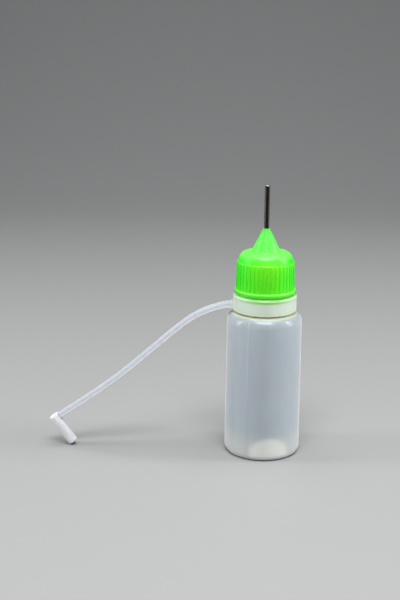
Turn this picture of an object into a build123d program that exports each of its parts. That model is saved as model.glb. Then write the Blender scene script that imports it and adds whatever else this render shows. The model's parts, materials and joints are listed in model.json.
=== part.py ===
from build123d import *
import os
from math import cos, degrees, radians, sin

# Glue applicator bottle: a 10 ml squeeze bottle with a screwed needle cap and a tethered needle stopper.
# Millimetres, +Z up. The origin is the centre of the bottle's foot, on the surface it stands on.
# The tether leaves the bottle towards -X.

# Bottle
body_base_r = 11.0
body_top_r = 10.8
base_corner_r = 1.7
shoulder_r = 3.0
shoulder_top_z = 42.4
wall = 0.9
floor_corner_r = 1.2
foot_inner_r = 8.0
push_up_r = 6.6
push_up_height = 0.8
floor_thickness = 1.0
seam_height = 0.05
seam_half_arc = 0.55
seam_azimuth = 244.0

# Neck, with the finish of a 13 mm screw cap
neck_root_r = 5.75
neck_crest_r = 6.5
neck_bore_r = 4.3
neck_top_z = 57.2
neck_edge_r = 0.3
neck_fillet_r = 0.4
thread_pitch = 3.175
thread_root_width = 1.8
thread_crest_width = 0.9
thread_sunk = 0.2
neck_thread_z = 48.6
neck_thread_turns = 2.0

# Nozzle cap
spigot_bottom_z = 46.2
spigot_bead_r = 8.3
spigot_bead_top_z = 46.85
spigot_bead_lead = (0.15, 0.3)
spigot_bead_back = 0.1
spigot_r = 7.9
lip_bottom_z = 47.75
lip_top_z = 48.9
lip_r = 8.8
lip_fillet_r = 0.22
skirt_bottom_r = 8.32
skirt_top_r = 8.1
skirt_bottom_z = 49.2
skirt_top_z = 57.05
rib_count = 40
rib_height = 0.13
rib_width = 0.55
rib_sunk = 0.4
dome_foot_r = 7.93
dome_foot_rise = 0.1
dome_corner_r = 6.98
dome_fillet_r = 2.4
dome_top_z = 59.75
cone_base_r = 4.2
cone_fillet_r = 0.5
cone_tip_r = 0.93
cone_tip_z = 66.4
cap_bore_r = 6.65
cap_mouth_chamfer = 0.35
cap_thread_crest_r = 6.05
cap_thread_turns = 1.5
cap_ceiling_z = 57.5
plug_outer_r = 4.2
plug_tip_r = 3.95
plug_inner_r = 3.5
plug_bottom_z = 55.6
plug_taper = 0.6
chamber_top_z = 58.0
channel_r = 0.6
channel_bottom_z = 60.8

# Needle, 17 gauge
needle_r = 0.735
needle_bore_r = 0.5
needle_socket_r = 0.785
needle_socket_z = 61.2
needle_foot_gap = 0.05
needle_tip_z = 78.6
needle_edge = 0.08

# Tether ring
ring_r = 9.1
ring_bottom_z = 42.7
ring_top_z = 47.55
ring_step_z = 45.0
ring_lip_z = 47.0
ring_low_bore_r = 7.6
ring_recess_r = 8.45
ring_lip_bore_r = 8.05
ring_top_chamfer = (0.6, 0.45)
ring_rim_r = 0.25

# Strap: a chain that stands for one bending strip. Each link is a gentle arc, and its round end sits in the
# seat of the link before. A slope or a turn is in degrees, and is positive upwards along the strap.
strap_height = 1.7
strap_depth = 2.0
strap_z = 44.05
seat_gap = 0.08
root_length = 1.6
root_flare = (3.4, 2.3)
root_flare_length = 1.1
root_sunk = 0.5
link_chord = 6.58
strap_start_slope = -11.0
link_turns = [-12.0, -15.0, -3.4, 0, 0, 3.2, 2.0, 1.8]

# Needle stopper, on the strap's end
stopper_arm = 9.8
stopper_mouth_r = 1.55
stopper_end_r = 1.46
stopper_bore_r = 0.8
stopper_above = 0.9
stopper_below = 9.1
stopper_bore_depth = 8.9
stopper_end_fillet = 0.35
stopper_mouth_chamfer = 0.15

shoulder_start_z = shoulder_top_z - shoulder_r


def thread_ridge(root_r, crest_r, start_z, turns):
    """One helical ridge of trapezoid section, rising from root_r to crest_r and sunk a little into its wall."""
    reach = crest_r - root_r
    sunk = -thread_sunk if reach > 0 else thread_sunk
    with BuildPart() as ridge:
        with BuildLine() as path:
            Helix(thread_pitch, turns * thread_pitch, root_r, center=(0, 0, start_z))
        with BuildSketch(Plane(path.line @ 0, x_dir=(1, 0, 0), z_dir=path.line % 0)):
            with BuildLine():
                Polyline(
                    (sunk, -thread_root_width / 2),
                    (0, -thread_root_width / 2),
                    (reach, -thread_crest_width / 2),
                    (reach, thread_crest_width / 2),
                    (0, thread_root_width / 2),
                    (sunk, thread_root_width / 2),
                    close=True,
                )
            make_face()
        sweep(path=path.line, is_frenet=True)
    return ridge.part


def axial_plane(azimuth):
    """The plane through the bottle's axis whose x direction points out at this azimuth, in degrees from +X."""
    outwards = (cos(radians(azimuth)), sin(radians(azimuth)), 0)
    return Plane((0, 0, 0), x_dir=outwards, z_dir=(outwards[1], -outwards[0], 0))


def corner(section, r, z):
    """The corner of a revolved section at radius r and height z."""
    return section.vertices().sort_by_distance((r, z, 0))[0]


def strap_section(x):
    """The plane across the strap's root at this x, facing along the strap."""
    return Plane((x, 0, strap_z), x_dir=(0, 1, 0), z_dir=(-1, 0, 0))


def body_outline(grow):
    """The outside of the body from foot to shoulder, moved out by grow."""
    foot = Line((foot_inner_r, -grow), (body_base_r - base_corner_r, -grow))
    base_arc = CenterArc((body_base_r - base_corner_r, base_corner_r), base_corner_r + grow, 270, 90)
    shoulder = CenterArc((body_top_r - shoulder_r, shoulder_start_z), shoulder_r + grow, 0, 90)
    Line(base_arc @ 1, shoulder @ 0)
    return foot @ 0, shoulder @ 1


# ---- Bottle: blow-moulded shell with a pushed-up base, rounded shoulder and threaded neck

neck_thread = thread_ridge(neck_root_r, neck_crest_r, neck_thread_z, neck_thread_turns)

with BuildPart() as bottle:
    with BuildSketch(Plane.XZ):
        with BuildLine():
            foot_start, shoulder_end = body_outline(0)
            Polyline((0, push_up_height), (push_up_r, push_up_height), foot_start)
            Polyline(
                shoulder_end,
                (neck_root_r, shoulder_top_z),
                (neck_root_r, neck_top_z),
                (neck_bore_r, neck_top_z),
                (neck_bore_r, shoulder_top_z - wall),
                (body_top_r - shoulder_r, shoulder_top_z - wall),
            )
            CenterArc((body_top_r - shoulder_r, shoulder_start_z), shoulder_r - wall, 0, 90)
            floor_corner = CenterArc(
                (body_base_r - wall - floor_corner_r, floor_thickness + floor_corner_r),
                floor_corner_r,
                270,
                90,
            )
            Line(floor_corner @ 1, (body_top_r - wall, shoulder_start_z))
            Polyline(
                floor_corner @ 0,
                (foot_inner_r, floor_thickness),
                (push_up_r, push_up_height + floor_thickness),
                (0, push_up_height + floor_thickness),
                (0, push_up_height),
            )
        make_face()
    revolve(axis=Axis.Z)
    add(neck_thread)
    neck_root = bottle.edges().filter_by(GeomType.CIRCLE).filter_by(
        lambda e: abs(e.radius - neck_root_r) < 0.01 and abs(e.center().Z - shoulder_top_z) < 0.01
    )
    fillet(neck_root, neck_fillet_r)
    neck_mouth = bottle.edges().filter_by(GeomType.CIRCLE).filter_by(
        lambda e: abs(e.radius - neck_root_r) < 0.01 and abs(e.center().Z - neck_top_z) < 0.01
    )
    fillet(neck_mouth, neck_edge_r)
    # The mould's parting line: two fine ridges on opposite sides
    for azimuth in (seam_azimuth, seam_azimuth + 180):
        with BuildSketch(axial_plane(azimuth - seam_half_arc)):
            with BuildLine():
                seam_foot, seam_shoulder = body_outline(seam_height)
                inside_r = body_top_r - shoulder_r
                Polyline(
                    seam_shoulder,
                    (inside_r, shoulder_top_z - wall / 2),
                    (body_top_r - wall / 2, shoulder_start_z),
                    (body_base_r - wall / 2, base_corner_r),
                    (seam_foot.X, wall / 2),
                    seam_foot,
                )
            make_face()
        revolve(axis=Axis.Z, revolution_arc=2 * seam_half_arc)
    # The ridges fade out at the foot, which stays flat
    with BuildSketch(Plane.XY):
        Circle(body_base_r + seam_height)
    extrude(amount=-2 * seam_height, mode=Mode.SUBTRACT)
bottle.part.label = "bottle"


# ---- Nozzle cap: ribbed skirt, lip, snap spigot for the ring, dome and cone, with thread and plug seal inside

cap_thread = thread_ridge(
    cap_bore_r,
    cap_thread_crest_r,
    neck_thread_z - thread_pitch / 2,
    cap_thread_turns,
)

with BuildPart() as rib:
    with BuildSketch(Plane.XZ):
        with BuildLine():
            Polyline(
                (skirt_top_r - rib_sunk, lip_top_z),
                (skirt_bottom_r + rib_height, lip_top_z),
                (skirt_top_r + rib_height, skirt_top_z - rib_height),
                (skirt_top_r, skirt_top_z),
                (skirt_top_r - rib_sunk, skirt_top_z),
                close=True,
            )
        make_face()
    revolve(axis=Axis.Z, revolution_arc=degrees(rib_width / skirt_bottom_r))

with BuildPart() as nozzle_cap:
    with BuildSketch(Plane.XZ) as cap_section:
        with BuildLine():
            Polyline(
                (cap_bore_r + cap_mouth_chamfer, spigot_bottom_z),
                (spigot_bead_r - spigot_bead_lead[0], spigot_bottom_z),
                (spigot_bead_r, spigot_bottom_z + spigot_bead_lead[1]),
                (spigot_bead_r, spigot_bead_top_z - spigot_bead_back),
                (spigot_r, spigot_bead_top_z),
                (spigot_r, lip_bottom_z),
                (lip_r, lip_bottom_z),
                (lip_r, lip_top_z),
                (skirt_bottom_r, skirt_bottom_z),
                (skirt_top_r, skirt_top_z),
                (dome_foot_r, skirt_top_z + dome_foot_rise),
                (dome_corner_r, dome_top_z),
                (cone_base_r, dome_top_z),
                (cone_tip_r, cone_tip_z),
                (needle_socket_r, cone_tip_z),
                (needle_socket_r, needle_socket_z),
                (channel_r, needle_socket_z),
                (channel_r, channel_bottom_z),
                (plug_inner_r, chamber_top_z),
                (plug_inner_r, plug_bottom_z),
                (plug_tip_r, plug_bottom_z),
                (plug_outer_r, plug_bottom_z + plug_taper),
                (plug_outer_r, cap_ceiling_z),
                (cap_bore_r, cap_ceiling_z),
                (cap_bore_r, spigot_bottom_z + cap_mouth_chamfer),
                close=True,
            )
        make_face()
        fillet(corner(cap_section, dome_corner_r, dome_top_z), dome_fillet_r)
        fillet(corner(cap_section, cone_base_r, dome_top_z), cone_fillet_r)
        fillet(corner(cap_section, lip_r, lip_bottom_z), lip_fillet_r)
        fillet(corner(cap_section, lip_r, lip_top_z), lip_fillet_r)
    revolve(axis=Axis.Z)
    add(cap_thread)
    with PolarLocations(0, rib_count):
        add(rib.part)
nozzle_cap.part.label = "nozzle_cap"


# ---- Needle: a plain tube, seated in the cone

with BuildPart() as needle:
    with BuildSketch(Plane.XY.offset(needle_socket_z + needle_foot_gap)):
        Circle(needle_r)
        Circle(needle_bore_r, mode=Mode.SUBTRACT)
    extrude(amount=needle_tip_z - needle_socket_z - needle_foot_gap)
    tip_edges = needle.edges().filter_by(GeomType.CIRCLE).group_by(Axis.Z)[-1]
    chamfer(tip_edges.sort_by(SortBy.RADIUS)[-1], needle_edge)
needle.part.label = "needle"


# ---- Tether ring: clips over the cap's spigot, with the root of the strap on its -X side

with BuildPart() as tether_ring:
    with BuildSketch(Plane.XZ) as ring_section:
        with BuildLine():
            Polyline(
                (ring_low_bore_r, ring_bottom_z),
                (ring_r, ring_bottom_z),
                (ring_r, ring_top_z - ring_top_chamfer[0]),
                (ring_r - ring_top_chamfer[1], ring_top_z),
                (ring_lip_bore_r, ring_top_z),
                (ring_lip_bore_r, ring_lip_z),
                (ring_recess_r, ring_lip_z),
                (ring_recess_r, ring_step_z),
                (ring_low_bore_r, ring_step_z),
                close=True,
            )
        make_face()
        fillet(corner(ring_section, ring_r, ring_bottom_z), ring_rim_r)
    revolve(axis=Axis.Z)
    # The strap's root flares where it meets the ring, and ends in the first link's seat
    with BuildSketch(strap_section(-ring_r + root_sunk)):
        Rectangle(*root_flare)
    with BuildSketch(strap_section(-ring_r - root_flare_length)):
        Rectangle(strap_depth, strap_height)
    loft()
    with BuildSketch(strap_section(-ring_r - root_flare_length)):
        Rectangle(strap_depth, strap_height)
    extrude(amount=root_length - root_flare_length)
    with BuildSketch(Plane((-(ring_r + root_length), 0, strap_z), x_dir=(1, 0, 0), z_dir=(0, -1, 0))):
        Circle(strap_height / 2 + seat_gap)
    extrude(amount=strap_depth, both=True, mode=Mode.SUBTRACT)
tether_ring.part.label = "tether_ring"


# ---- Strap links, each from its own joint to the next one


def strap_frames():
    """The plane at each joint. Its x direction runs along the strap as it leaves the joint, and y points down."""
    x, z, slope = -(ring_r + root_length), strap_z, strap_start_slope
    frames = []
    for turn in link_turns + [0]:
        along = Vector(-cos(radians(slope)), 0, sin(radians(slope)))
        frames.append(Plane((x, 0, z), x_dir=along, z_dir=(0, -1, 0)))
        chord_slope = radians(slope + turn / 2)
        x -= link_chord * cos(chord_slope)
        z += link_chord * sin(chord_slope)
        slope += turn
    return frames


def strap_link(frame, turn, label):
    """A strip that bends by turn, with a round end at its own joint and a round seat at the next one."""
    with BuildPart() as link:
        with BuildSketch(frame):
            with BuildLine() as middle:
                if turn:
                    JernArc((0, 0), (1, 0), link_chord / 2 / sin(radians(abs(turn)) / 2), -turn)
                else:
                    Line((0, 0), (link_chord, 0))
            trace(line_width=strap_height)
            Circle(strap_height / 2)
            with Locations(middle.line @ 1):
                Circle(strap_height / 2 + seat_gap, mode=Mode.SUBTRACT)
        extrude(amount=strap_depth / 2, both=True)
    link.part.label = label
    return link.part


frames = strap_frames()
strap_parts = [
    strap_link(frame, turn, f"strap_link_{number:02d}")
    for number, (frame, turn) in enumerate(zip(frames, link_turns), start=1)
]


# ---- Needle stopper: the strap's end and a blind tube that pushes over the needle

tube_plane = Plane(
    frames[-1].origin + frames[-1].x_dir * stopper_arm - frames[-1].y_dir * stopper_above,
    x_dir=frames[-1].x_dir,
    z_dir=frames[-1].y_dir,
)

with BuildPart() as needle_stopper:
    with BuildSketch(frames[-1]):
        Circle(strap_height / 2)
        with Locations((stopper_arm / 2, 0)):
            Rectangle(stopper_arm, strap_height)
    extrude(amount=strap_depth / 2, both=True)
    with BuildSketch(tube_plane):
        Circle(stopper_mouth_r)
    with BuildSketch(tube_plane.offset(stopper_above + stopper_below)):
        Circle(stopper_end_r)
    loft()
    end_edge = needle_stopper.edges().filter_by(GeomType.CIRCLE).sort_by(Axis.Z)[0]
    fillet(end_edge, stopper_end_fillet)
    with BuildSketch(tube_plane):
        Circle(stopper_bore_r)
    extrude(amount=stopper_bore_depth, mode=Mode.SUBTRACT)
    mouth_edges = needle_stopper.edges().filter_by(GeomType.CIRCLE).filter_by(
        lambda e: abs(e.radius - stopper_bore_r) < 0.01
    )
    chamfer(mouth_edges.sort_by(Axis.Z)[-1], stopper_mouth_chamfer)
needle_stopper.part.label = "needle_stopper"


os.makedirs("parts", exist_ok=True)
whole_parts = [bottle.part, nozzle_cap.part, needle.part, tether_ring.part, needle_stopper.part]
for part in whole_parts + strap_parts:
    export_step(part, f"parts/{part.label}.step")
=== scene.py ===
import json
import math
import bpy
import numpy as np
from mathutils import Matrix, Vector


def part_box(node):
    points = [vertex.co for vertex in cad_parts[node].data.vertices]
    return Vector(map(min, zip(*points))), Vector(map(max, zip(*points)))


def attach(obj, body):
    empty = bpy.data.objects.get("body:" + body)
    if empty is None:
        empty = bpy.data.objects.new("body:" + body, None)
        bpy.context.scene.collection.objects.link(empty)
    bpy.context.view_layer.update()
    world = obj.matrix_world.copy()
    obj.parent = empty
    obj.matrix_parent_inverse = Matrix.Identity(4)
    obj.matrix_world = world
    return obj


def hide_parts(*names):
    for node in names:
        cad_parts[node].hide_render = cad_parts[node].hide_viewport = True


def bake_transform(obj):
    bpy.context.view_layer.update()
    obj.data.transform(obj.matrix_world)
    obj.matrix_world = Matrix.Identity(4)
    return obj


# Looks of a glue applicator bottle: milky bottle, green nozzle cap, steel needle, and tether with stopper.
# Metres, in the CAD frame: +Z is up, the tether leaves towards -X and the front is towards -Y.

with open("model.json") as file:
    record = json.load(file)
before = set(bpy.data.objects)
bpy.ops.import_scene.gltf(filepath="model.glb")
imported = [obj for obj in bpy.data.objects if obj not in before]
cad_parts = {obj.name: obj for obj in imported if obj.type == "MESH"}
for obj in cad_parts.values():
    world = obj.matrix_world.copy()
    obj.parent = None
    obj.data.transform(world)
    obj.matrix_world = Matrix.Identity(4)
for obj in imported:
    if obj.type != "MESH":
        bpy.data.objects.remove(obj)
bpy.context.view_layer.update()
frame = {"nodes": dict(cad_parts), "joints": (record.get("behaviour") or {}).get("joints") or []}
MM = 0.001
nodes = frame["nodes"]


# ---- Sizes. The boxes are read from the CAD, and the other heights and radii are the CAD's own.

ring_low, ring_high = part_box("tether_ring")
cap_top_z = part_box("nozzle_cap")[1].z
needle_top_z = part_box("needle")[1].z
neck_r = 6.5 * MM
shoulder_z = ring_low.z - 0.3 * MM
ring_r = 9.1 * MM
lip_r = 8.8 * MM
lip_top_z = 48.9 * MM
skirt_r = 8.1 * MM
skirt_foot_z = 49.2 * MM
skirt_top_z = 57.05 * MM
dome_top_z = 59.75 * MM
seam_azimuth = math.radians(244)
front_azimuth = math.radians(-88)
# The tether's points carry a level for its colours: 0 to 1 up the strip, and this one on the stopper
stopper_level = 2.0


# ---- Material helpers

def srgb(r, g, b):
    """A linear colour from display values of 0 to 255."""
    def linear(v):
        v /= 255
        return v / 12.92 if v <= 0.04045 else ((v + 0.055) / 1.055) ** 2.4
    return (linear(r), linear(g), linear(b), 1.0)


class Look:
    """A material, with short ways to add nodes to it."""

    def __init__(self, name):
        self.material = bpy.data.materials.new(name)
        self.material.use_nodes = True
        self.tree = self.material.node_tree
        self.tree.nodes.clear()
        self.out = self.add("OutputMaterial")
        self.place = self.add("TexCoord").outputs["Object"]
        split = self.add("SeparateXYZ", Vector=self.place)
        self.x, self.y, self.z = split.outputs

    def add(self, kind, **inputs):
        node = self.tree.nodes.new("ShaderNode" + kind)
        for name, value in inputs.items():
            self.put(node.inputs[name.replace("_", " ")], value)
        return node

    def put(self, socket, value):
        if isinstance(value, bpy.types.NodeSocket):
            self.tree.links.new(value, socket)
        else:
            socket.default_value = value

    def math(self, operation, a, b=0.0):
        node = self.add("Math")
        node.operation = operation
        self.put(node.inputs[0], a)
        self.put(node.inputs[1], b)
        return node.outputs[0]

    def both(self, a, b):
        """The product of two masks, or of a mask and a share."""
        return self.math("MULTIPLY", a, b)

    def rise(self, value, low, high):
        """0 below low, 1 above high and smooth between. Low may be the larger one."""
        node = self.add("MapRange", Value=value)
        node.interpolation_type = "SMOOTHSTEP"
        node.inputs["From Min"].default_value = low
        node.inputs["From Max"].default_value = high
        return node.outputs["Result"]

    def bump_at(self, value, centre, half):
        """1 at centre, falling smoothly to 0 at half away from it."""
        off = self.math("ABSOLUTE", self.math("SUBTRACT", value, centre))
        return self.rise(off, half, 0.0)

    def between(self, share, a, b):
        """A number from a to b."""
        node = self.add("MapRange", Value=share)
        node.inputs["To Min"].default_value = a
        node.inputs["To Max"].default_value = b
        return node.outputs["Result"]

    def noise(self, size, detail=3.0, stretch=(1, 1, 1), rough=0.55):
        """Noise with features about size metres across, stretched by that much along each axis."""
        mapping = self.add("Mapping", Vector=self.place)
        mapping.inputs["Scale"].default_value = [1 / s for s in stretch]
        node = self.add("TexNoise", Vector=mapping.outputs[0], Scale=1 / size, Detail=detail, Roughness=rough)
        return node.outputs[0]

    def radius(self):
        """Distance from the bottle's axis."""
        return self.math("SQRT", self.math("ADD", self.both(self.x, self.x), self.both(self.y, self.y)))

    def azimuth(self):
        """Angle round the bottle's axis from +X, in radians."""
        return self.math("ARCTAN2", self.y, self.x)

    def mix(self, share, a, b):
        """A colour from a to b. A Mix node's colours are its inputs 6 and 7 and its output 2."""
        node = self.add("Mix")
        node.data_type = "RGBA"
        self.put(node.inputs["Factor"], share)
        self.put(node.inputs[6], a)
        self.put(node.inputs[7], b)
        return node.outputs[2]

    def over(self, colour, mask, share, tint):
        """The colour, with up to that share of the tint over it where the mask is 1."""
        return self.mix(self.both(mask, share), colour, tint)

    def bump(self, height, distance, strength=1.0, normal=None):
        node = self.add("Bump", Height=height, Distance=distance, Strength=strength)
        if normal is not None:
            self.put(node.inputs["Normal"], normal)
        return node.outputs["Normal"]

    def surface(self, colour, roughness, normal, **inputs):
        shader = self.add("BsdfPrincipled", Base_Color=colour, Roughness=roughness, Normal=normal, **inputs)
        self.put(self.out.inputs["Surface"], shader.outputs[0])
        return shader

    def see_through(self, shader, tint, share):
        """Lets that share of the light through a thin milky wall."""
        thin = self.add("BsdfTranslucent", Color=tint)
        mixed = self.add("MixShader", Fac=share)
        self.put(mixed.inputs[1], shader.outputs[0])
        self.put(mixed.inputs[2], thin.outputs[0])
        self.put(self.out.inputs["Surface"], mixed.outputs[0])


# ---- Materials

def bottle_look():
    look = Look("bottle_milky_polythene")
    cool = srgb(171, 181, 191)
    warm_glow = srgb(222, 220, 211)
    pale = srgb(218, 224, 224)
    cloud = look.noise(9 * MM, 2, (1, 1, 2.2))
    streak = look.noise(0.7 * MM, 3, (1, 1, 30))
    # Painted light near the foot: lighter and warmer there, where light comes through the wall past the
    # pushed-up base, and most in one round painted pool of light
    pool_azimuth, pool_half_arc = math.radians(-80), math.radians(34)
    pool_z, pool_half_height = 2.2 * MM, 5.2 * MM
    low = look.rise(look.z, 10.0 * MM, 3.5 * MM)
    aside = look.math("DIVIDE", look.math("SUBTRACT", look.azimuth(), pool_azimuth), pool_half_arc)
    above = look.math("DIVIDE", look.math("SUBTRACT", look.z, pool_z), pool_half_height)
    off_pool = look.math("ADD", look.both(aside, aside), look.both(above, above))
    colour = look.over(cool, low, 0.6, warm_glow)
    colour = look.over(colour, look.rise(off_pool, 1.15, 0.45), 0.95, srgb(255, 252, 240))
    colour = look.mix(look.between(cloud, 0.02, 0.36), colour, pale)
    colour = look.mix(look.between(streak, -0.03, 0.15), colour, pale)
    # The foot's rim is thicker, and so whiter, and is lightened further as painted light against the shade at
    # the floor, and the shoulder is a little greyer, painted shade on its upward face
    radius = look.radius()
    lit_rim = look.rise(look.z, 1.7 * MM, 0.4 * MM)
    shaded_shoulder = look.rise(look.z, shoulder_z - 3.4 * MM, shoulder_z - 1.4 * MM)
    beside_neck = look.rise(radius, neck_r - 0.3 * MM, neck_r + 0.7 * MM)
    colour = look.over(colour, lit_rim, 0.9, srgb(250, 250, 250))
    colour = look.over(colour, look.both(shaded_shoulder, beside_neck), 0.6, srgb(152, 162, 166))
    # Painted reflection: the ring's pale edge shows again in the shoulder below it
    below_ring = look.rise(look.z, shoulder_z - 0.75 * MM, shoulder_z - 0.35 * MM)
    ring_reflection_glow = look.both(below_ring, look.rise(radius, ring_r - 1.3 * MM, ring_r - 0.5 * MM))
    colour = look.over(colour, ring_reflection_glow, 0.6, srgb(222, 230, 178))
    # The parting line fades downwards
    across = look.math(
        "ADD",
        look.both(look.x, -math.sin(seam_azimuth)),
        look.both(look.y, math.cos(seam_azimuth)),
    )
    seam = look.both(look.bump_at(across, 0, 0.34 * MM), look.rise(look.z, 4 * MM, 34 * MM))
    colour = look.over(colour, seam, 0.32, srgb(232, 238, 238))
    # Fine specks and handling scuffs
    speck = look.rise(look.noise(0.35 * MM, 2), 0.66, 0.74)
    colour = look.over(colour, speck, 0.12, srgb(120, 124, 128))
    scuff = look.noise(2.2 * MM, 5, (3, 1, 1), 0.7)
    roughness = look.math("ADD", look.between(scuff, 0.1, 0.26), look.between(streak, -0.03, 0.03))
    normal = look.bump(cloud, 0.25 * MM, 0.35)
    normal = look.bump(look.noise(0.5 * MM, 4, (1, 1, 4)), 0.02 * MM, 0.6, normal)
    shader = look.surface(
        colour, roughness, normal,
        Subsurface_Weight=0.55, Subsurface_Scale=2.2 * MM, Subsurface_Radius=(1.0, 0.95, 0.9),
        IOR=1.51, Sheen_Weight=1.0, Sheen_Roughness=0.42, Sheen_Tint=(0.97, 1.0, 0.98, 1.0),
    )
    look.see_through(shader, srgb(232, 238, 242), 0.33)
    return look.material


def ring_colour(look, mottle):
    colour = look.mix(look.between(mottle, 0.1, 0.5), srgb(218, 236, 218), srgb(234, 246, 230))
    # Painted light: the green spigot shows through the thin top, painted strongest at the front, but not in
    # the strap's root
    painted_front = look.bump_at(look.azimuth(), front_azimuth, 1.3)
    top = look.rise(look.z, ring_high.z - 1.5 * MM, ring_high.z - 0.9 * MM)
    near = look.rise(look.radius(), ring_r + 0.8 * MM, ring_r + 0.2 * MM)
    colour = look.over(colour, look.both(top, near), look.between(painted_front, 0.25, 0.95), srgb(126, 200, 76))
    # Painted shade: the top edge is darkened green against the light that falls on it, most at the front
    shaded_crest = look.rise(look.z, ring_high.z - 0.35 * MM, ring_high.z - 0.05 * MM)
    colour = look.over(colour, shaded_crest, look.between(painted_front, 0.2, 0.7), srgb(140, 196, 104))
    # A pale line where the recess inside begins, and a painted highlight on the lower rim: a pale band with a
    # faint line over it
    step = look.bump_at(look.z, ring_low.z + 2.5 * MM, 0.22 * MM)
    colour = look.over(colour, step, 0.3, srgb(240, 244, 232))
    lit_rim = look.rise(look.z, ring_low.z + 0.8 * MM, ring_low.z + 0.4 * MM)
    colour = look.over(colour, lit_rim, 0.75, srgb(246, 246, 204))
    line = look.bump_at(look.z, ring_low.z + 0.85 * MM, 0.16 * MM)
    return look.over(colour, line, 0.5, srgb(214, 222, 190))


def strap_colour(look, mottle):
    """Colours by each point's level: a cream lower edge that is a painted highlight, an upper face greyed as
    painted shade, and a plain stopper.
    """
    attribute = look.add("Attribute")
    attribute.attribute_name = "level"
    level = attribute.outputs["Fac"]
    colour = look.mix(look.between(mottle, 0.05, 0.45), srgb(208, 216, 230), srgb(222, 228, 236))
    # Painted highlight along the lower edge
    colour = look.over(colour, look.rise(level, 0.42, 0.32), 0.9, srgb(255, 255, 252))
    # Painted shade on the upper face, which the top light falls on
    colour = look.over(colour, look.rise(level, 0.86, 0.97), 0.9, srgb(174, 176, 179))
    on_stopper = look.rise(level, stopper_level - 0.6, stopper_level - 0.4)
    return look.mix(on_stopper, colour, srgb(236, 236, 242))


def tether_look(name, colouring, transmission, see_through):
    look = Look(name)
    mottle = look.noise(2.6 * MM, 4)
    colour = colouring(look, mottle)
    flow = look.noise(0.5 * MM, 3, (7, 1, 1))
    colour = look.mix(look.between(flow, -0.1, 0.2), colour, srgb(242, 244, 244))
    speck = look.rise(look.noise(0.3 * MM, 2), 0.68, 0.75)
    colour = look.over(colour, speck, 0.12, srgb(130, 132, 130))
    roughness = look.between(look.noise(1.5 * MM, 5, (1, 1, 1), 0.7), 0.26, 0.5)
    normal = look.bump(mottle, 0.1 * MM, 0.3)
    normal = look.bump(look.noise(0.4 * MM, 4), 0.02 * MM, 0.6, normal)
    shader = look.surface(
        colour, roughness, normal,
        Subsurface_Weight=0.5, Subsurface_Scale=1.4 * MM, Subsurface_Radius=(1.0, 1.0, 0.9),
        IOR=1.51, Sheen_Weight=0.4, Sheen_Roughness=0.4, Transmission_Weight=transmission,
    )
    look.see_through(shader, srgb(240, 244, 238), see_through)
    return look.material


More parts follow.
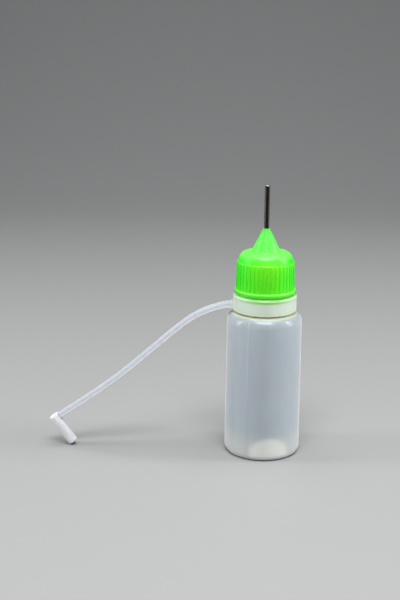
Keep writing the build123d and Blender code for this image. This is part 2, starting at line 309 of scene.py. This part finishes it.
def cap_look():
    look = Look("cap_green_plastic")
    deep = srgb(30, 230, 12)
    bright = srgb(60, 255, 26)
    radius = look.radius()
    painted_front = look.bump_at(look.azimuth(), front_azimuth, 1.1)
    cloud = look.noise(5 * MM, 3)
    colour = look.mix(cloud, deep, bright)
    # The skirt is yellower at its foot, and painted light makes it yellower at its front and lifts the shade
    # in the thin valleys between the ribs
    skirt_low = look.rise(look.z, skirt_foot_z + 3 * MM, skirt_foot_z)
    colour = look.over(colour, skirt_low, 0.45, srgb(110, 255, 24))
    wall = look.both(
        look.rise(look.z, skirt_top_z + 0.15 * MM, skirt_top_z - 0.15 * MM),
        look.rise(look.z, lip_top_z, lip_top_z + 0.4 * MM),
    )
    valley = look.rise(radius, skirt_r + 0.26 * MM, skirt_r + 0.02 * MM)
    outside = look.rise(radius, skirt_r - 0.5 * MM, skirt_r - 0.2 * MM)
    thin = look.both(look.both(valley, wall), outside)
    colour = look.over(colour, thin, 0.8, srgb(76, 255, 28))
    # Painted light: yellower at the front
    colour = look.over(colour, look.both(painted_front, wall), 0.25, srgb(150, 250, 30))
    colour = look.over(colour, look.both(painted_front, thin), 0.6, srgb(168, 255, 32))
    # Each rib catches the light at its top end
    rib_top = look.bump_at(look.z, skirt_top_z - 0.2 * MM, 0.32 * MM)
    crown = look.both(rib_top, look.rise(radius, skirt_r + 0.06 * MM, skirt_r + 0.1 * MM))
    colour = look.over(colour, crown, 0.7, srgb(176, 255, 140))
    # Painted light: the dome is yellower at its side at the front and paler above as a painted highlight, and
    # the cone is a cooler green with painted pale highlight streaks
    lit_side = look.both(look.bump_at(look.z, skirt_top_z + 0.55 * MM, 1.1 * MM), painted_front)
    colour = look.over(colour, lit_side, 0.6, srgb(150, 255, 34))
    dome_highlight = look.rise(look.z, skirt_top_z + 0.35 * MM, dome_top_z - 0.45 * MM)
    colour = look.over(colour, dome_highlight, 0.7, srgb(132, 255, 108))
    cone = look.rise(look.z, dome_top_z + 0.45 * MM, dome_top_z + 1.25 * MM)
    colour = look.over(colour, cone, 0.7, srgb(84, 226, 74))
    streak = look.noise(0.5 * MM, 3, (1, 1, 14))
    colour = look.over(colour, look.both(look.rise(streak, 0.5, 0.68), cone), 0.4, srgb(178, 255, 150))
    tip = look.rise(look.z, cap_top_z - 2.0 * MM, cap_top_z - 0.2 * MM)
    colour = look.over(colour, tip, 0.3, srgb(60, 190, 40))
    # The lip has a painted highlight along its upper edge
    lip = look.rise(look.z, lip_top_z - 0.6 * MM, lip_top_z - 0.15 * MM)
    on_lip = look.both(lip, look.rise(radius, lip_r - 0.4 * MM, lip_r - 0.25 * MM))
    colour = look.over(colour, on_lip, 0.45, srgb(172, 255, 120))
    # Fine specks and wear
    speck = look.rise(look.noise(0.35 * MM, 2), 0.67, 0.75)
    colour = look.over(colour, speck, 0.15, srgb(20, 130, 10))
    wear = look.rise(look.noise(1.6 * MM, 5, (1, 1, 0.6), 0.75), 0.54, 0.72)
    colour = look.over(colour, wear, 0.1, srgb(170, 255, 150))
    roughness = look.math("ADD", look.between(cloud, 0.3, 0.42), look.both(wear, 0.14))
    normal = look.bump(cloud, 0.12 * MM, 0.3)
    normal = look.bump(look.noise(0.45 * MM, 4), 0.02 * MM, 0.6, normal)
    shader = look.surface(
        colour, roughness, normal,
        Subsurface_Weight=0.9, Subsurface_Scale=2.8 * MM, Subsurface_Radius=(0.5, 1.0, 0.3), IOR=1.5,
    )
    look.see_through(shader, srgb(90, 255, 40), 0.3)
    return look.material


def steel_look():
    look = Look("needle_drawn_steel")
    draw = look.noise(0.12 * MM, 4, (1, 1, 40))
    cloud = look.noise(2.5 * MM, 4, (1, 1, 2))
    colour = look.mix(look.between(draw, 0.1, 0.9), srgb(82, 79, 74), srgb(124, 120, 112))
    # Painted reflection: a dark band down the front and the back, as the tube reflects a dark room
    turn = look.both(look.math("SUBTRACT", look.azimuth(), front_azimuth), 2.0)
    dark_reflection_band = look.rise(look.math("COSINE", turn), 0.2, 0.8)
    colour = look.over(colour, dark_reflection_band, 0.85, srgb(32, 31, 28))
    stain = look.rise(cloud, 0.55, 0.75)
    colour = look.over(colour, stain, 0.35, srgb(88, 78, 64))
    # The cut end is bright, a painted highlight
    tip = look.rise(look.z, needle_top_z - 0.22 * MM, needle_top_z - 0.04 * MM)
    colour = look.over(colour, tip, 0.7, srgb(232, 232, 230))
    roughness = look.math("ADD", look.between(draw, 0.16, 0.34), look.both(stain, 0.1))
    look.surface(colour, roughness, look.bump(draw, 0.01 * MM, 0.6), Metallic=1.0)
    return look.material


def dress(obj, material):
    obj.data.materials.clear()
    obj.data.materials.append(material)


strap_material = tether_look("tether_strap_polythene", strap_colour, transmission=0.1, see_through=0.12)
ring_material = tether_look("tether_ring_polythene", ring_colour, transmission=0.12, see_through=0.18)
dress(nodes["bottle"], bottle_look())
dress(nodes["tether_ring"], ring_material)
dress(nodes["nozzle_cap"], cap_look())
dress(nodes["needle"], steel_look())


# ---- Strap: one smooth strip, in pieces that each run across one hinge

hinges = [j for j in frame["joints"] if j["child"].startswith("link_") or j["child"] == "stopper"]
pivots = [Vector(j["pos_m"]) for j in hinges]
link_count = len(pivots) - 1
start_slope = math.radians(-11)
sections_per_half = 12
# The strip tapers from root to end, and its corners reach their full radius this many links along
root_height, end_height = 1.76 * MM, 1.6 * MM
root_depth, end_depth = 2.06 * MM, 2.0 * MM
root_corner, strip_corner = 0.1 * MM, 0.2 * MM
corner_grows = 2 / 3
# The root starts inside the ring's wall, and is higher and deeper there
root_sunk = 0.45 * MM
flare_length = 1.3 * MM
flare_height, flare_depth = 2.0 * MM, 0.5 * MM
flare_power = 1.6
# The stopper's arm is measured to the tube's axis, and ends short of it in the tube's wall
arm_length = 9.8 * MM
arm_stop = 0.95 * MM


def heading(slope):
    """The direction along the strap, away from the bottle, at this slope."""
    return Vector((-math.cos(slope), 0, math.sin(slope)))


def chord_slope(a, b):
    return math.atan2(b.z - a.z, a.x - b.x)


# The strap's slope at each hinge: each link is an arc, so its ends turn equally from its chord
slopes = [start_slope]
for a, b in zip(pivots, pivots[1:]):
    slopes.append(2 * chord_slope(a, b) - slopes[-1])


def on_link(k, share):
    """The point and slope at that share of the way along link k, which starts at hinge k."""
    turn = slopes[k + 1] - slopes[k]
    chord = (pivots[k + 1] - pivots[k]).length
    slope = slopes[k] + share * turn / 2
    length = chord * share if abs(turn) < 1e-6 else chord * math.sin(share * turn / 2) / math.sin(turn / 2)
    return pivots[k] + heading(slope) * length, slopes[k] + share * turn


def section(height, depth, corner, steps=5):
    """A rounded rectangle as (across, up) points, all the way round from its lower edge."""
    points = []
    for quarter, (sx, sz) in enumerate(((1, -1), (1, 1), (-1, 1), (-1, -1))):
        for i in range(steps + 1):
            angle = math.radians(-90 + 90 * quarter + 90 * i / steps)
            points.append((
                sx * (depth / 2 - corner) + corner * math.cos(angle),
                sz * (height / 2 - corner) + corner * math.sin(angle),
            ))
    return points


def skin(rings, count):
    """Faces between rings of count points each."""
    faces = []
    for start in range(0, (rings - 1) * count, count):
        for j in range(count):
            a, b = start + j, start + (j + 1) % count
            faces.append((a, b, b + count, a + count))
    return faces


def solid(name, verts, faces, levels):
    """A smooth mesh in the strap's material, with each point's level."""
    mesh = bpy.data.meshes.new(name)
    mesh.from_pydata(verts, [], faces)
    mesh.update()
    attribute = mesh.attributes.new("level", "FLOAT", "POINT")
    attribute.data.foreach_set("value", np.array(levels, np.float32))
    mesh.polygons.foreach_set("use_smooth", [True] * len(mesh.polygons))
    obj = bpy.data.objects.new(name, mesh)
    bpy.context.scene.collection.objects.link(obj)
    dress(obj, strap_material)
    return obj


def strip(name, stations):
    """A skin over sections. A station is (centre, slope, height, depth, corner radius)."""
    verts, levels = [], []
    for centre, slope, height, depth, corner in stations:
        upwards = Vector((math.sin(slope), 0, math.cos(slope)))
        outline = section(height, depth, corner)
        for across, up in outline:
            verts.append(centre + Vector((0, -across, 0)) + upwards * up)
            levels.append(0.5 + up / height)
    return solid(name, verts, skin(len(stations), len(outline)), levels)


def station(centre, slope, along):
    """A station at this distance along the strap, in links from the first hinge."""
    share = min(along / link_count, 1)
    height = root_height + (end_height - root_height) * share
    depth = root_depth + (end_depth - root_depth) * share
    corner = root_corner + (strip_corner - root_corner) * min(along / corner_grows, 1)
    return centre, slope, height, depth, corner


def root_stations():
    """The root, which flares into the ring."""
    root = Vector((-(ring_r - root_sunk), 0, pivots[0].z))
    for i in range(sections_per_half):
        share = i / sections_per_half
        centre = root.lerp(pivots[0], share)
        flare = max(0.0, 1 - (root.x - centre.x) / (root_sunk + flare_length)) ** flare_power
        centre, slope, height, depth, corner = station(centre, slopes[0] * share ** 2, 0)
        yield centre, slope, height + flare_height * flare, depth + flare_depth * flare, corner


def link_stations(k, first, last):
    """Stations on link k, evenly spaced between two shares of the way along it."""
    count = round((last - first) * 2 * sections_per_half)
    for i in range(count + 1):
        share = first + (last - first) * i / count
        yield station(*on_link(k, share), k + share)


def arm_stations():
    """The straight arm, which ends inside the stopper's wall."""
    count = 2 * sections_per_half
    for i in range(count + 1):
        along = (arm_length - arm_stop) * i / count
        yield station(pivots[-1] + heading(slopes[-1]) * along, slopes[-1], link_count)


for k, hinge in enumerate(hinges):
    if k == 0:
        stations = list(root_stations())
    else:
        # The hinge's own station comes first in what follows
        stations = list(link_stations(k - 1, 0.5, 1))[:-1]
    if k < link_count:
        stations += link_stations(k, 0, 0.5)
    else:
        stations += arm_stations()
    piece = strip(f"strap_{k + 1:02d}", stations)
    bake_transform(piece)
    if k < link_count:
        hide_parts(f"strap_link_{k + 1:02d}")


# ---- Stopper: a blind tube, turned about its own axis

tube_above = 0.9 * MM
tube_down = -Vector((math.sin(slopes[-1]), 0, math.cos(slopes[-1])))
tube_mouth = pivots[-1] + heading(slopes[-1]) * arm_length - tube_down * tube_above
mouth_r, end_r, bore_r = 1.55 * MM, 1.46 * MM, 0.8 * MM
tube_length, bore_depth = 10.0 * MM, 8.9 * MM
end_fillet, mouth_round, bore_fillet = 0.35 * MM, 0.16 * MM, 0.1 * MM


def arc(centre_r, centre_d, radius, first, last, steps=6):
    """Points (radius, depth) on an arc, with angles in degrees from outwards, turning deeper."""
    angles = [math.radians(first + (last - first) * i / steps) for i in range(steps + 1)]
    return [(centre_r + radius * math.cos(a), centre_d + radius * math.sin(a)) for a in angles]


def straight(a, b, steps):
    """Points (radius, depth) between a and b, without the ends."""
    return [(a[0] + (b[0] - a[0]) * i / steps, a[1] + (b[1] - a[1]) * i / steps) for i in range(1, steps)]


# From the middle of the bore's end, up the bore, round the mouth and down the outside to the closed end
side_end = tube_length - end_fillet
profile = [(0.0, bore_depth)]
profile += arc(bore_r - bore_fillet, bore_depth - bore_fillet, bore_fillet, 90, 0, 3)
profile += straight((bore_r, bore_depth), (bore_r, 0), 8)
profile += arc(bore_r + mouth_round, mouth_round, mouth_round, 180, 270)
profile += arc(mouth_r - mouth_round, mouth_round, mouth_round, -90, 0)
profile += straight((mouth_r, mouth_round), (end_r, side_end), 12)
profile += arc(end_r - end_fillet, side_end, end_fillet, 0, 90)
profile += [(0.0, tube_length)]


def turned(name, profile, mouth, down, steps=48):
    """A profile of (radius, depth) points turned about the line down from the mouth."""
    side_a = Vector((0, 1, 0))
    side_b = down.cross(side_a)
    verts = []
    for r, depth in profile:
        for i in range(steps):
            angle = 2 * math.pi * i / steps
            outwards = side_a * math.cos(angle) + side_b * math.sin(angle)
            verts.append(mouth + down * depth + outwards * max(r, 1e-6))
    faces = [(a, d, c, b) for a, b, c, d in skin(len(profile), steps)]
    return solid(name, verts, faces, [stopper_level] * len(verts))


stopper = turned("stopper_tube", profile, tube_mouth, tube_down)
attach(stopper, "stopper")
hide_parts("needle_stopper")


# ---- Floor, light and camera

def sweep_floor():
    """A pale floor that curves up into a back wall, well behind the object."""
    near, far, half_width = -1.2, 0.9, 1.6
    wall_top, bend, bend_steps = 1.2, 0.5, 16
    drop = 0.03 * MM
    line = [(near, 0.0), (far - bend, 0.0)]
    for angle in np.linspace(0.1, math.pi / 2, bend_steps):
        line.append((far - bend + bend * math.sin(angle), bend - bend * math.cos(angle)))
    line.append((far, wall_top))
    verts, faces = [], []
    for y, z in line:
        verts += [(-half_width, y, z - drop), (half_width, y, z - drop)]
    for i in range(len(line) - 1):
        faces.append((2 * i, 2 * i + 1, 2 * i + 3, 2 * i + 2))
    mesh = bpy.data.meshes.new("floor")
    mesh.from_pydata(verts, [], faces)
    mesh.update()
    mesh.polygons.foreach_set("use_smooth", [True] * len(mesh.polygons))
    floor = bpy.data.objects.new("floor", mesh)
    bpy.context.scene.collection.objects.link(floor)
    look = Look("floor_pale")
    grain = look.bump(look.noise(50 * MM, 2), 0.1 * MM, 0.1)
    look.surface((0.27, 0.27, 0.27, 1.0), 0.6, grain)
    mesh.materials.append(look.material)


def area_light(name, place, size, watts):
    """A rectangular light that faces the middle of the object."""
    data = bpy.data.lights.new(name, "AREA")
    data.shape = "RECTANGLE"
    data.size, data.size_y = size
    data.energy = watts
    light = bpy.data.objects.new(name, data)
    light.location = place
    light.rotation_euler = (object_middle - Vector(place)).to_track_quat("-Z", "Y").to_euler()
    bpy.context.scene.collection.objects.link(light)


object_middle = Vector((-0.01, 0, 0.04))
sweep_floor()
area_light("top_light", place=(0.0, 0.05, 0.62), size=(0.5, 0.3), watts=2.4)
area_light("front_light", place=(0.0, -0.235, 0.485), size=(0.3, 0.17), watts=2.9)
area_light("left_light", place=(-0.4, -0.02, 0.2), size=(0.1, 0.36), watts=0.9)
area_light("right_light", place=(0.4, -0.02, 0.22), size=(0.1, 0.36), watts=1.3)

world = bpy.data.worlds.new("studio")
world.use_nodes = True
background = world.node_tree.nodes["Background"]
background.inputs["Color"].default_value = (0.9, 0.95, 1.0, 1.0)
background.inputs["Strength"].default_value = 0.22
bpy.context.scene.world = world
bpy.context.scene.view_settings.view_transform = "Standard"

# The camera's place, turn and lens, as fitted to the photograph
eye = Vector((-0.01034, -0.29622, 0.1226))
yaw, pitch, roll = math.radians(-1.605), math.radians(14.653), math.radians(0.508)
forward = Vector((math.sin(yaw) * math.cos(pitch), math.cos(yaw) * math.cos(pitch), -math.sin(pitch)))
right = forward.cross(Vector((0, 0, 1))).normalized()
up = right.cross(forward)
turned_right = right * math.cos(roll) + up * math.sin(roll)
turned_up = up * math.cos(roll) - right * math.sin(roll)
lens = bpy.data.cameras.new("camera")
lens.lens = 63.8
lens.sensor_width = 36
lens.sensor_fit = "AUTO"
lens.clip_start = 0.01
camera = bpy.data.objects.new("camera", lens)
camera.matrix_world = Matrix.Translation(eye) @ Matrix((
    (turned_right.x, turned_up.x, -forward.x, 0),
    (turned_right.y, turned_up.y, -forward.y, 0),
    (turned_right.z, turned_up.z, -forward.z, 0),
    (0, 0, 0, 1),
))
bpy.context.scene.collection.objects.link(camera)
bpy.context.scene.camera = camera
